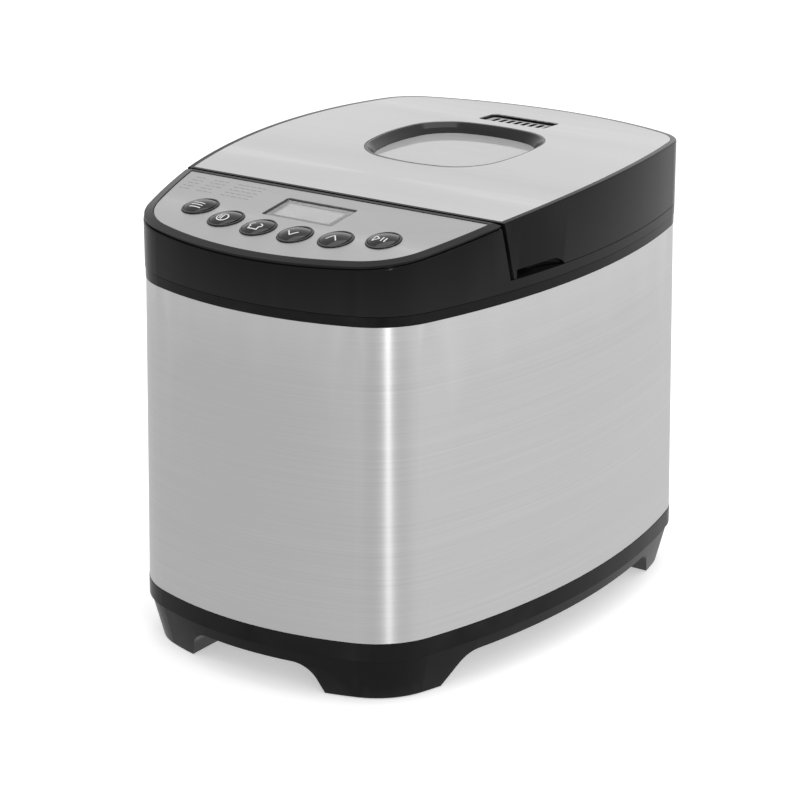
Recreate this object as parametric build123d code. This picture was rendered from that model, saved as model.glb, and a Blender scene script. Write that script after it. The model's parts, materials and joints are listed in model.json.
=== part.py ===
from build123d import *
import math
import os

# Bread machine, millimetres.  X is across, front is -Y, +Z is up.
# The origin is on the standing surface, below the middle of the body's bounding box.

# ---- plan outline: four large arcs joined by tangent corner arcs -------------------------
HALF_WIDTH = 130.0
HALF_DEPTH = 180.5
WIDEST_Y = 16.5
SIDE_R = 480.0
FRONT_R = 220.0
BACK_R = 225.0
FRONT_CORNER_R = 51.0
BACK_CORNER_R = 38.0
SIDE_CENTRE = (HALF_WIDTH - SIDE_R, WIDEST_Y)
FRONT_CENTRE = (0.0, FRONT_R - HALF_DEPTH)
BACK_CENTRE = (0.0, HALF_DEPTH - BACK_R)
SPAN = 2 * HALF_WIDTH + 60

# ---- levels of the outer casing ----------------------------------------------------------
PAD_PROUD = 0.8
SKIRT_Z = 20.5
FLOOR_TOP = 23.5
BAND_Z = 28.7
BASE_TOP = 40.0
WRAP_TOP = 240.0
TRIM_TOP = 246.2
RIM_BOTTOM = 246.6
DECK_BOTTOM = 250.6
RIM_TOP = 253.0
LID_BOTTOM = 253.4
LID_PEAK = 297.2
LID_PEAK_Y = 74.0
LID_CROWN_R = 1550.0
ABOVE_ALL = 305.0

# ---- insets of each skin from the plan outline; negative where the base flares out --------
BAND_INSET = -2.8
SKIRT_INSET = -1.7
FOOT_INSET = 5.5
BASE_WALL = 3.0
WRAP_INSET = 0.6
WRAP_LOW_INSET = -2.6
WRAP_GAUGE = 0.7
WRAP_HEM = 0.55
TRIM_INSET = 0.3
HOUSING_WALL = 3.0
LID_WALL = 2.6
LID_DECK = 3.2

# ---- base: feet, pads, posts, screws and cord outlet --------------------------------------
FOOT_GAP_X = 52.5
FOOT_GAP_FRONT_Y = -121.0
FOOT_GAP_BACK_Y = 118.0
FOOT_GAP_LEAN = 0.41
FOOT_GAP_LEAN_Y = 0.83
FOOT_WALL = 3.5
FOOT_SPOTS = [(78.0, -140.0), (-78.0, -140.0), (86.0, 138.0), (-86.0, 138.0)]
PAD_R = 10.0
PAD_TOP = 4.0
POST_SPOTS = [(62.0, -92.0), (-62.0, -92.0), (66.0, 112.0), (-66.0, 112.0)]
POST_R = 5.5
SCREW_R = 2.0
SCREW_HEAD_R = 4.0
SCREW_HEAD_H = 2.2
FLOOR_SLOTS = 9
FLOOR_SLOT_PITCH = 8.0
FLOOR_SLOT_W = 3.0
FLOOR_SLOT_Y = (-90.0, -50.0)
GLAND_X = 60.0
GLAND_Z = 32.0
GLAND_R = 5.5
CORD_R = 3.6
GLAND_FRONT = 153.0
GLAND_BACK = 178.0

# ---- split between control housing and lid: a plane that leans back towards the bottom ---
SPLIT_TOP_Y = -79.2
SPLIT_TOP_Z = 290.0
SPLIT_LEAN = 0.24
SPLIT_GAP = 3.0

# ---- control panel plane -----------------------------------------------------------------
PANEL_TILT = 7.97
PANEL_Y = -132.0
PANEL_Z = 282.7
PANEL = Plane(
    origin=(0, PANEL_Y, PANEL_Z),
    x_dir=(1, 0, 0),
    z_dir=(0, -math.sin(math.radians(PANEL_TILT)), math.cos(math.radians(PANEL_TILT))),
)
PANEL_BACK_Y = -83.4
BEZEL_INSET = 0.5
BEZEL_DROP = 1.0
BEZEL_BOTTOM = 1.7
GROOVE_DEPTH = 1.4
PLATE_INSET = 6.7
PLATE_DROP = 0.3
PLATE_GAUGE = 0.8
WALL_TOP_DROP = 3.1
WALL_TOP_ROUND = 1.2
CARRIER_GAUGE = 2.4
BOARD_DROP = 12.5
BOARD_GAUGE = 1.6

# ---- buttons: centres across the panel, fanned about the front arc -----------------------
BUTTON_SPOTS = {
    "button_1": (-69.0, -129.5),
    "button_2": (-41.3, -139.5),
    "button_3": (-13.8, -143.0),
    "button_4": (13.8, -143.0),
    "button_5": (41.3, -139.5),
    "button_6": (69.0, -129.5),
}
BUTTON_SEMI_X = 9.1
BUTTON_SEMI_Y = 11.0
BUTTON_FAN = 0.5
BUTTON_CROWN_R = 26.0
BUTTON_PROUD = 2.6
BUTTON_DEPTH = 6.0
SURROUND_GAP = 0.35
SURROUND_WALL = 1.3
SURROUND_PROUD = 0.5

# ---- display ------------------------------------------------------------------------------
DISPLAY_Y = -109.8
DISPLAY_W = 53.0
DISPLAY_H = 28.5
DISPLAY_VIEW_W = 42.0
DISPLAY_VIEW_H = 18.5
DISPLAY_RECESS = 1.6

# ---- lid window and steam vent ------------------------------------------------------------
WINDOW_Y = 49.5
WINDOW_HALF_X = 53.3
WINDOW_HALF_Y = 55.5
WINDOW_BOW = 8.5
WINDOW_CORNER = 36.0
WINDOW_GLASS_Z = 290.6
WINDOW_GLASS_GAUGE = 3.0
WINDOW_LIP_Z = 293.8
WINDOW_LIP_INSET = 3.6
WINDOW_WALL_INSET = 5.4
WINDOW_LEDGE_INSET = 8.0
TUNNEL_GAUGE = 2.5
VENT_Y = 126.5
VENT_W = 52.0
VENT_L = 21.0
VENT_SLOTS = 8
VENT_PITCH = 5.8
VENT_SLOT_W = 3.2
VENT_RECESS = 2.4
VENT_FLANGE = 2.0
VENT_GAUGE = 1.6
SKIN_INSET = 4.1
SKIN_GAUGE = 0.7
SKIN_FRONT_GAP = 2.2

# ---- underside of the lid -----------------------------------------------------------------
LID_SCREW_SPOTS = [(102.0, -30.0), (-102.0, -30.0), (101.0, 116.0), (-101.0, 116.0)]
LID_PANEL_BOTTOM = 254.2
LID_PANEL_TOP = 256.2
LID_POST_R = 4.5
LINER_BOTTOM = 249.0
LINER_INSET = 4.5

# ---- finger recesses in the lid's lower side edges ---------------------------------------
GRIP_FRONT_Y = -74.0
GRIP_FLAT_Y = -38.0
GRIP_BACK_Y = -21.0
GRIP_TOP = 259.0
GRIP_R = 40.0
GRIP_DEPTH = 9.0
GRIP_Y = -46.0
GRIP_LINING = 2.2

# ---- lid hinge -----------------------------------------------------------------------------
HINGE_Y = 174.0
HINGE_Z = 260.0
KNUCKLE_R = 4.6
PIN_R = 2.0
PIN_CLEARANCE = 0.05
LID_KNUCKLE_X = (20.0, 29.6)
FIXED_KNUCKLE_X = (30.0, 40.0)
NOTCH_CLEARANCE = 0.6

# ---- baking chamber and bread pan ----------------------------------------------------------
CHAMBER_Y = 49.0
CHAMBER_HALF_X = 88.0
CHAMBER_HALF_Y = 93.0
CHAMBER_CORNER = 26.0
CHAMBER_FLOOR = 62.0
CHAMBER_GAUGE = 0.8
OPENING_INSET = 2.0
PAN_HALF_X = 66.0
PAN_HALF_Y = 80.0
PAN_CORNER = 24.0
PAN_FLOOR = 86.0
PAN_TOP = 212.0
PAN_GAUGE = 1.4
PAN_RIM = 3.0
COLLAR_R = 43.5
COLLAR_WALL = 2.5
HANDLE_PIVOT_Z = 203.0
HANDLE_REACH = 86.0
HANDLE_ROD_R = 2.0
HANDLE_HALF_X = 71.5
PAN_BEARING_R = 9.0
PAN_BEARING_BOTTOM = 84.5
PAN_BEARING_TOP = 96.0
DOG_TOP = 78.0
DOG_BOTTOM = 71.0
COUPLING_TOP = 84.0
SHAFT_TOP = 116.0

# ---- heater, sensor and pan socket ----------------------------------------------------------
ELEMENT_Z = 94.0
ELEMENT_R = 3.25
ELEMENT_HALF_X = 77.0
ELEMENT_HALF_Y = 85.5
ELEMENT_LEAD_X = 14.0
SENSOR_X = 34.0
SENSOR_Z = 118.0
SOCKET_WALL = 2.0
SHIELD_Y = -56.5

# ---- drive ---------------------------------------------------------------------------------
MOTOR_Y = -105.0
SHAFT_R = 4.0
MOTOR_SHAFT_R = 3.0
RUNNING_CLEARANCE = 0.04
BIG_PULLEY_R = 57.0
SMALL_PULLEY_R = 9.5
PULLEY_BOTTOM = 28.0
PULLEY_TOP = 38.0
BELT_GAP = 0.3
BELT_GAUGE = 1.6
CHASSIS_BOTTOM = 46.0
CHASSIS_TOP = 47.5
SPINDLE_BUSH_R = 8.0
SPINDLE_BARREL_R = 12.0
SPINDLE_TOP = 69.0
STATOR_BOTTOM = 62.0
STATOR_TOP = 90.0
MOTOR_TOP = 102.0
ROTOR_R = 23.5
BEARING_R = 8.0
MOTOR_CUP_R = 42.0
MOTOR_BOLT_SPOTS = [(x, MOTOR_Y + y) for x in (-31, 31) for y in (-31, 31)]

# ---- sizes of cutting solids -----------------------------------------------------------------
PAST = 1.0
FAR_Y = 240.0
UPPER_LOW = 200.0
UPPER_HIGH = 320.0


# ---- outline helpers -----------------------------------------------------------------------
def bearing(start, end):
    """Direction from one plan point to another, in degrees."""
    return math.degrees(math.atan2(end[1] - start[1], end[0] - start[0]))


def corner_centre(end_centre, end_radius, corner_radius, toward):
    """Centre of the circle tangent inside the right side arc and one end arc."""
    from_side = SIDE_R - corner_radius
    from_end = end_radius - corner_radius
    dx = end_centre[0] - SIDE_CENTRE[0]
    dy = end_centre[1] - SIDE_CENTRE[1]
    gap = math.hypot(dx, dy)
    along = (from_side**2 - from_end**2 + gap**2) / (2 * gap)
    across = toward * math.sqrt(from_side**2 - along**2)
    x = SIDE_CENTRE[0] + (along * dx - across * dy) / gap
    y = SIDE_CENTRE[1] + (along * dy + across * dx) / gap
    return (x, y)


def plan_face(inset):
    """The plan outline of the rim, drawn in by a constant distance, or out when negative."""
    front = corner_centre(FRONT_CENTRE, FRONT_R, FRONT_CORNER_R, -1)
    back = corner_centre(BACK_CENTRE, BACK_R, BACK_CORNER_R, 1)
    side_front = bearing(SIDE_CENTRE, front)
    side_back = bearing(SIDE_CENTRE, back)
    end_front = bearing(FRONT_CENTRE, front)
    end_back = bearing(BACK_CENTRE, back)
    left_side = (-SIDE_CENTRE[0], SIDE_CENTRE[1])
    left_front = (-front[0], front[1])
    left_back = (-back[0], back[1])
    arcs = [
        (SIDE_CENTRE, SIDE_R, side_front, side_back),
        (back, BACK_CORNER_R, side_back, end_back),
        (BACK_CENTRE, BACK_R, end_back, 180 - end_back),
        (left_back, BACK_CORNER_R, 180 - end_back, 180 - side_back),
        (left_side, SIDE_R, 180 - side_back, 180 - side_front),
        (left_front, FRONT_CORNER_R, 180 - side_front, 180 - end_front),
        (FRONT_CENTRE, FRONT_R, 180 - end_front, 360 + end_front),
        (front, FRONT_CORNER_R, 360 + end_front, 360 + side_front),
    ]
    edges = [CenterArc(centre, radius - inset, start, end - start) for centre, radius, start, end in arcs]
    return make_face(edges)


def prism(inset, bottom, top):
    """Upright solid on the plan outline."""
    return extrude(Pos(0, 0, bottom) * plan_face(inset), amount=top - bottom)


def tapered(bottom_inset, bottom, top_inset, top):
    """Solid between two plan outlines at different heights."""
    return loft([Pos(0, 0, bottom) * plan_face(bottom_inset), Pos(0, 0, top) * plan_face(top_inset)], ruled=True)


def along_x(points):
    """Solid that runs across the whole body, from a closed profile of (y, z) points."""
    return extrude(Plane.YZ * make_face(Polyline(*points, close=True)), amount=SPAN / 2, both=True)


def split_y(z):
    """Y of the middle of the gap between control housing and lid."""
    return SPLIT_TOP_Y + SPLIT_LEAN * (SPLIT_TOP_Z - z)


def behind_split(offset):
    """Everything more than offset behind the split plane."""
    low, high = UPPER_LOW, UPPER_HIGH
    return along_x([(split_y(low) + offset, low), (split_y(high) + offset, high), (FAR_Y, high), (FAR_Y, low)])


def ahead_of_split(offset):
    """Everything more than offset ahead of the split plane."""
    low, high = UPPER_LOW, UPPER_HIGH
    return along_x([(split_y(low) - offset, low), (split_y(high) - offset, high), (-FAR_Y, high), (-FAR_Y, low)])


def under_panel(drop):
    """Everything below the control panel plane, lowered by drop."""
    depth = UPPER_LOW
    return PANEL.offset(-drop) * Pos(0, 0, -depth / 2) * Box(SPAN, SPAN, depth)


def under_lid(drop):
    """Everything below the crowned lid surface, lowered by drop."""
    return Pos(0, LID_PEAK_Y, LID_PEAK - LID_CROWN_R) * Rot(0, 90, 0) * Cylinder(LID_CROWN_R - drop, SPAN)


def on_panel(x, y):
    """Location on the control panel plane above a plan point."""
    rise = (y - PANEL_Y) / math.cos(math.radians(PANEL_TILT))
    return PANEL * Pos(x, rise, 0)


def rounded_block(half_x, half_y, corner, bottom, top, centre_y=CHAMBER_Y):
    """Upright block with rounded corners, centred on the chamber."""
    face = Pos(0, centre_y, bottom) * RectangleRounded(2 * half_x, 2 * half_y, corner)
    return extrude(face, amount=top - bottom)


def window_face(shrink):
    """Rounded window outline whose four sides bow outwards, reduced by shrink all round."""
    half_x = WINDOW_HALF_X - shrink
    half_y = WINDOW_HALF_Y - shrink
    bow = WINDOW_BOW
    rise_x = half_x - bow
    rise_y = half_y - bow
    edges = [
        ThreePointArc((-rise_x, -rise_y), (0, -half_y), (rise_x, -rise_y)),
        ThreePointArc((rise_x, -rise_y), (half_x, 0), (rise_x, rise_y)),
        ThreePointArc((rise_x, rise_y), (0, half_y), (-rise_x, rise_y)),
        ThreePointArc((-rise_x, rise_y), (-half_x, 0), (-rise_x, -rise_y)),
    ]
    face = make_face(edges)
    return fillet(face.vertices(), WINDOW_CORNER - shrink)


def window_block(shrink, bottom, top):
    """Upright solid on the window outline, reduced by shrink all round."""
    return extrude(Pos(0, WINDOW_Y, bottom) * window_face(shrink), amount=top - bottom)


def rod(radius, start, end, x, y):
    """Upright cylinder between two heights."""
    return Pos(x, y, (start + end) / 2) * Cylinder(radius, end - start)


def tube(outer, inner, start, end, x, y):
    """Upright tube between two heights."""
    return rod(outer, start, end, x, y) - rod(inner, start - 1, end + 1, x, y)


def bar_x(radius, start, end, y, z):
    """Cylinder along X between two places."""
    return Pos((start + end) / 2, y, z) * Rot(0, 90, 0) * Cylinder(radius, end - start)


def block(x0, x1, y0, y1, z0, z1):
    """Box between two corners."""
    return Pos((x0 + x1) / 2, (y0 + y1) / 2, (z0 + z1) / 2) * Box(x1 - x0, y1 - y0, z1 - z0)


def both_sides(right):
    """A piece made for the right side, and its mirror image."""
    return [right, mirror(right, Plane.YZ)]


def top_rounded(solid, radius):
    """Round the edge all round a solid's top face."""
    return fillet(solid.faces().sort_by(Axis.Z)[-1].edges(), radius)


# ---- base ----------------------------------------------------------------------------------
def arch(bottom_low, bottom_high, top_low, top_high, radius):
    """Gap profile between two feet, narrower at the top, with rounded upper corners."""
    points = [(bottom_low, -1), (bottom_high, -1), (top_high, SKIRT_Z), (top_low, SKIRT_Z)]
    face = make_face(Polyline(*points, close=True))
    upper = face.vertices().group_by(Axis.Y)[-1]
    return fillet(upper, radius)


def foot_gaps():
    """The cross-shaped space under the base that leaves four corner feet."""
    rise_x = FOOT_GAP_LEAN * SKIRT_Z
    rise_y = FOOT_GAP_LEAN_Y * SKIRT_Z
    fore_aft = arch(-FOOT_GAP_X, FOOT_GAP_X, rise_x - FOOT_GAP_X, FOOT_GAP_X - rise_x, 16)
    across = arch(FOOT_GAP_FRONT_Y, FOOT_GAP_BACK_Y, FOOT_GAP_FRONT_Y + rise_y, FOOT_GAP_BACK_Y - rise_y, 18)
    return extrude(Plane.XZ * fore_aft, amount=SPAN, both=True) + extrude(Plane.YZ * across, amount=SPAN, both=True)


def leg_pockets():
    """Hollows that the base tub sinks into its four feet."""
    low = PAD_TOP + 3
    inside = tapered(FOOT_INSET + FOOT_WALL, low, SKIRT_INSET + FOOT_WALL + 0.5, BAND_Z)
    side = FOOT_GAP_X + FOOT_WALL + 1
    front = FOOT_GAP_FRONT_Y - FOOT_WALL - 2.5
    back = FOOT_GAP_BACK_Y + FOOT_WALL + 2.5
    corners = both_sides(block(side, HALF_WIDTH, -HALF_DEPTH, front, low, FLOOR_TOP))
    corners += both_sides(block(side, HALF_WIDTH, back, HALF_DEPTH, low, FLOOR_TOP))
    return [corner & inside for corner in corners]


def base_shell():
    """Moulded tub: tapering skirt with four flared feet, floor, screw posts and vent slots."""
    shell = prism(BAND_INSET, BAND_Z, BASE_TOP) + tapered(FOOT_INSET, PAD_PROUD, SKIRT_INSET, BAND_Z)
    shell -= prism(BAND_INSET + BASE_WALL, BAND_Z, BASE_TOP + 1)
    shell -= prism(SKIRT_INSET + 4, FLOOR_TOP, BAND_Z + 1)
    lip_inset = WRAP_LOW_INSET + WRAP_GAUGE + 0.2
    lip = prism(lip_inset, BASE_TOP - PAST, BASE_TOP + 4)
    shell += lip - prism(BAND_INSET + BASE_WALL, BASE_TOP - 2 * PAST, BASE_TOP + 5)
    shell -= foot_gaps()
    for pocket in leg_pockets():
        shell -= pocket
    for x, y in POST_SPOTS:
        shell += rod(POST_R, FLOOR_TOP - 1, CHASSIS_BOTTOM, x, y)
    for x, y in POST_SPOTS:
        shell -= rod(SCREW_R, SKIRT_Z - 1, CHASSIS_BOTTOM + 1, x, y)
        shell -= rod(SCREW_HEAD_R, SKIRT_Z - 1, SKIRT_Z + SCREW_HEAD_H, x, y)
    for x, y in FOOT_SPOTS:
        shell -= rod(PAD_R, 0, PAD_TOP, x, y)
    for slot in range(FLOOR_SLOTS):
        x = (slot - (FLOOR_SLOTS - 1) / 2) * FLOOR_SLOT_PITCH
        shell -= block(x - FLOOR_SLOT_W / 2, x + FLOOR_SLOT_W / 2, *FLOOR_SLOT_Y, SKIRT_Z - PAST, FLOOR_TOP + PAST)
    shell -= Pos(GLAND_X, GLAND_BACK, GLAND_Z) * Rot(90, 0, 0) * Cylinder(GLAND_R, 40)
    return shell


def foot_pads():
    """Rubber discs pressed into the feet."""
    pads = []
    for x, y in FOOT_SPOTS:
        pads.append(chamfer(rod(PAD_R, 0, PAD_TOP, x, y).edges().group_by(Axis.Z)[0], 0.5))
    return pads


def base_screws():
    """Four screws from below the floor into the chassis plate."""
    screws = []
    for x, y in POST_SPOTS:
        head = rod(SCREW_HEAD_R, SKIRT_Z, SKIRT_Z + SCREW_HEAD_H, x, y)
        shank = rod(SCREW_R, SKIRT_Z, CHASSIS_TOP, x, y)
        cross = block(x - 2.6, x + 2.6, y - 0.5, y + 0.5, SKIRT_Z, SKIRT_Z + 1.2)
        cross += block(x - 0.5, x + 0.5, y - 2.6, y + 2.6, SKIRT_Z, SKIRT_Z + 1.2)
        screws.append(head + shank - cross)
    return screws


def cord_gland():
    """Round outlet bush for a mains lead, through the base's rear wall."""
    length = GLAND_BACK - GLAND_FRONT
    barrel = Pos(GLAND_X, (GLAND_FRONT + GLAND_BACK) / 2, GLAND_Z) * Rot(90, 0, 0) * Cylinder(GLAND_R, length)
    collar = Pos(GLAND_X, GLAND_BACK - 1, GLAND_Z) * Rot(90, 0, 0) * Cylinder(GLAND_R + 2.5, 2)
    inner = Pos(GLAND_X, GLAND_FRONT + 2, GLAND_Z) * Rot(90, 0, 0) * Cylinder(GLAND_R + 2, 3)
    hole = Pos(GLAND_X, GLAND_BACK, GLAND_Z) * Rot(90, 0, 0) * Cylinder(CORD_R, 80)
    wall = prism(BAND_INSET, BAND_Z - 5, BASE_TOP) - prism(BAND_INSET + BASE_WALL, BAND_Z, BASE_TOP + 1)
    wall -= prism(SKIRT_INSET + 4, FLOOR_TOP, BAND_Z + 1)
    return barrel + (collar - wall) + inner - hole


# ---- body wrap and trim ---------------------------------------------------------------------
def steel_wrap():
    """Brushed steel sheet bent round the whole body, flared a little, its lower edge turned under."""
    outer = tapered(WRAP_LOW_INSET, BASE_TOP, WRAP_INSET, WRAP_TOP)
    outer = fillet(outer.faces().sort_by(Axis.Z)[0].edges(), WRAP_HEM)
    return outer - tapered(WRAP_LOW_INSET + WRAP_GAUGE, BASE_TOP - PAST, WRAP_INSET + WRAP_GAUGE, WRAP_TOP + PAST)


def trim_ring():
    """Plastic band between the wrap and the top frame, with a lip inside the wrap."""
    ring = prism(TRIM_INSET, WRAP_TOP, TRIM_TOP) - prism(6.5, WRAP_TOP - 1, TRIM_TOP + 1)
    lip = prism(WRAP_INSET + WRAP_GAUGE + 0.2, WRAP_TOP - 6, WRAP_TOP) - prism(3.4, WRAP_TOP - 7, WRAP_TOP + 1)
    riser = prism(3.4, WRAP_TOP, DECK_BOTTOM) - prism(6.5, WRAP_TOP - 1, DECK_BOTTOM + 1)
    return ring + lip + riser


# ---- top frame and control housing ----------------------------------------------------------
def fixed_knuckles():
    """Hinge barrels that stand on the top frame's rear deck."""
    start, end = FIXED_KNUCKLE_X
    barrel = bar_x(KNUCKLE_R, start, end, HINGE_Y, HINGE_Z)
    web = block(start, end, HINGE_Y - KNUCKLE_R, HINGE_Y + 2.2, RIM_TOP - 1, HINGE_Z)
    knuckle = barrel + web - bar_x(PIN_R, start - 5, end + 5, HINGE_Y, HINGE_Z)
    return both_sides(knuckle)


def top_frame():
    """Deck round the chamber mouth, outer rim and hollow control housing, in one moulding."""
    housing = top_rounded(prism(0, RIM_BOTTOM, ABOVE_ALL) & under_panel(WALL_TOP_DROP), WALL_TOP_ROUND)
    frame = prism(0, RIM_BOTTOM, RIM_TOP) + (housing & ahead_of_split(SPLIT_GAP / 2))
    hollow = prism(HOUSING_WALL, RIM_BOTTOM - 1, ABOVE_ALL) & ahead_of_split(SPLIT_GAP / 2 + HOUSING_WALL)
    frame -= hollow
    frame -= prism(HOUSING_WALL + 0.4, RIM_BOTTOM - 1, DECK_BOTTOM)
    frame -= rounded_block(
        CHAMBER_HALF_X - OPENING_INSET, CHAMBER_HALF_Y - OPENING_INSET, CHAMBER_CORNER, RIM_BOTTOM - 1, RIM_TOP + 1
    )
    for knuckle in fixed_knuckles():
        frame += knuckle
    return frame


def panel_bezel():
    """Sloped frame round the control panel, over a narrow shadow groove."""
    ring = prism(BEZEL_INSET, RIM_TOP, ABOVE_ALL) & under_panel(0)
    top_edges = ring.faces().sort_by(Axis.Z)[-1].edges()
    ring = chamfer(top_edges, BEZEL_DROP, PLATE_INSET - BEZEL_INSET - 0.8)
    ring -= under_panel(BEZEL_BOTTOM)
    neck = (prism(BEZEL_INSET + GROOVE_DEPTH, RIM_TOP, ABOVE_ALL) & under_panel(BEZEL_BOTTOM)) - under_panel(WALL_TOP_DROP)
    ring += neck
    ring = ring & ahead_of_split(SPLIT_GAP / 2)
    return ring - (prism(PLATE_INSET - 0.4, RIM_TOP, ABOVE_ALL) & ahead_of_y(PANEL_BACK_Y + 0.4))


def ahead_of_y(y):
    """Everything ahead of a plane across the body."""
    return block(-SPAN / 2, SPAN / 2, -FAR_Y, y, UPPER_LOW, UPPER_HIGH)


def button_place(name):
    """Location of a button's centre on the panel, turned with the fan."""
    x, y = BUTTON_SPOTS[name]
    turn = BUTTON_FAN * bearing(FRONT_CENTRE, (x, y)) + 90 * BUTTON_FAN
    return on_panel(x, y) * Rot(0, 0, turn)


def oval(grow, low, high):
    """Elliptical block on the panel's own axes, larger than a button by grow."""
    face = Pos(0, 0, low) * Ellipse(BUTTON_SEMI_X + grow, BUTTON_SEMI_Y + grow)
    return extrude(face, amount=high - low)


def display_block(width, height, low, high, corner=1.5):
    """Rounded rectangle on the panel plane at the display."""
    face = Pos(0, 0, low) * RectangleRounded(width, height, corner)
    return on_panel(0, DISPLAY_Y) * extrude(face, amount=high - low)


def control_fascia():
    """Brushed steel panel plate with six oval holes and the display cut-out."""
    plate = prism(PLATE_INSET, RIM_TOP, ABOVE_ALL) & ahead_of_y(PANEL_BACK_Y)
    plate = (plate & under_panel(PLATE_DROP)) - under_panel(PLATE_DROP + PLATE_GAUGE)
    for name in BUTTON_SPOTS:
        plate -= button_place(name) * oval(SURROUND_GAP + SURROUND_WALL + 0.2, -5, 5)
    return plate - display_block(DISPLAY_W, DISPLAY_H, -5, 5)


def panel_carrier():
    """Moulded carrier under the plate: six button surrounds, display frame and board posts."""
    top = PLATE_DROP + PLATE_GAUGE
    carrier = prism(PLATE_INSET - 0.2, RIM_TOP, ABOVE_ALL) & ahead_of_y(PANEL_BACK_Y + 0.2)
    carrier = (carrier & under_panel(top)) - under_panel(top + CARRIER_GAUGE)
    for name in BUTTON_SPOTS:
        ring = oval(SURROUND_GAP + SURROUND_WALL, -top - CARRIER_GAUGE - 2, SURROUND_PROUD)
        ring = chamfer(ring.edges().group_by(Axis.Z)[-1], 0.4)
        carrier += button_place(name) * ring
    for name in BUTTON_SPOTS:
        carrier -= button_place(name) * oval(SURROUND_GAP, -20, 20)
    low = -top - CARRIER_GAUGE
    carrier += display_block(DISPLAY_W - 0.4, DISPLAY_H - 0.4, low, -DISPLAY_RECESS)
    carrier -= display_block(DISPLAY_W - 2.4, DISPLAY_H - 2.4, -DISPLAY_RECESS - 0.6, 5, 1.0)
    carrier -= display_block(DISPLAY_VIEW_W, DISPLAY_VIEW_H, -20, 5, 1.0)
    for x in (-60, 60):
        for y in (-108, -92):
            post = on_panel(x, y) * Pos(0, 0, (low - BOARD_DROP) / 2) * Cylinder(3, BOARD_DROP + low)
            carrier += post
    return carrier


def display_lens():
    """Clear cover in the display frame."""
    return display_block(DISPLAY_W - 2.8, DISPLAY_H - 2.8, -DISPLAY_RECESS - 0.6, -DISPLAY_RECESS + 0.4, 0.8)


def lcd_module():
    """Glass display cell behind the lens."""
    return display_block(DISPLAY_VIEW_W - 0.4, DISPLAY_VIEW_H - 0.4, -5.6, -DISPLAY_RECESS - 0.7, 0.4)


def control_board():
    """Circuit board parallel to the panel, under the buttons."""
    board = on_panel(0, -118) * Pos(0, 0, -BOARD_DROP - BOARD_GAUGE / 2) * Box(176, 66, BOARD_GAUGE)
    return board & prism(HOUSING_WALL + 8, RIM_TOP - 10, ABOVE_ALL)


def button_switches():
    """Six tact switches on the board, one under each button."""
    switches = []
    for name in BUTTON_SPOTS:
        place = button_place(name)
        body = place * Pos(0, 0, -BOARD_DROP + 1.4) * Box(6, 6, 2.8)
        plunger = place * Pos(0, 0, -BOARD_DROP + 3.4) * Cylinder(1.6, 1.4)
        switches.append(body + plunger)
    return switches


def button_cap(name):
    """Domed oval key with a guide skirt."""
    cap = oval(0, -BUTTON_DEPTH, BUTTON_PROUD + 0.5)
    cap &= Pos(0, 0, BUTTON_PROUD - BUTTON_CROWN_R) * Sphere(BUTTON_CROWN_R)
    cap -= oval(-1.6, -BUTTON_DEPTH - 1, -1.8)
    cap += Pos(0, 0, -BUTTON_DEPTH / 2 - 0.5) * Cylinder(2.2, BUTTON_DEPTH - 1)
    return button_place(name) * cap


# ---- lid -------------------------------------------------------------------------------------
def grip_cut(grow):
    """Right-hand finger recess, grown all round by a lining thickness."""
    front = GRIP_FRONT_Y - grow
    back = GRIP_BACK_Y + grow
    top = GRIP_TOP + grow
    shoulder = ((GRIP_FLAT_Y + back) / 2 + 1.5, GRIP_TOP - 1.2 + grow)
    profile = [
        Line((front, RIM_BOTTOM), (front, top)),
        Line((front, top), (GRIP_FLAT_Y, top)),
        ThreePointArc((GRIP_FLAT_Y, top), shoulder, (back, LID_BOTTOM)),
        Line((back, LID_BOTTOM), (back, RIM_BOTTOM)),
        Line((back, RIM_BOTTOM), (front, RIM_BOTTOM)),
    ]
    wall_x = SIDE_CENTRE[0] + math.sqrt(SIDE_R**2 - (GRIP_Y - WIDEST_Y) ** 2)
    scoop_x = wall_x - GRIP_DEPTH + GRIP_R
    scoop = rod(GRIP_R + grow, RIM_BOTTOM - 1, top + 1, scoop_x, GRIP_Y)
    return extrude(Plane.YZ * make_face(profile), amount=SPAN / 2, both=True) & scoop


def lid_knuckles():
    """Hinge barrels on the lid, each with a web up to the rear wall."""
    start, end = LID_KNUCKLE_X
    barrel = bar_x(KNUCKLE_R, start, end, HINGE_Y, HINGE_Z)
    web = block(start, end, HINGE_Y - KNUCKLE_R, HINGE_Y + 4, HINGE_Z, HINGE_Z + 14)
    knuckle = (barrel + web) & prism(0.5, RIM_TOP, ABOVE_ALL)
    knuckle -= bar_x(PIN_R + PIN_CLEARANCE, start - 5, end + 5, HINGE_Y, HINGE_Z)
    return both_sides(knuckle)


def hinge_notches():
    """Room in the lid's rear wall for the fixed barrels through the whole swing."""
    start, end = FIXED_KNUCKLE_X
    top = HINGE_Z + KNUCKLE_R + NOTCH_CLEARANCE
    notch = block(start - 0.3, end + 0.3, HINGE_Y - KNUCKLE_R - 0.6, HALF_DEPTH + 5, LID_BOTTOM - 1, top)
    return both_sides(notch)


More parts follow.
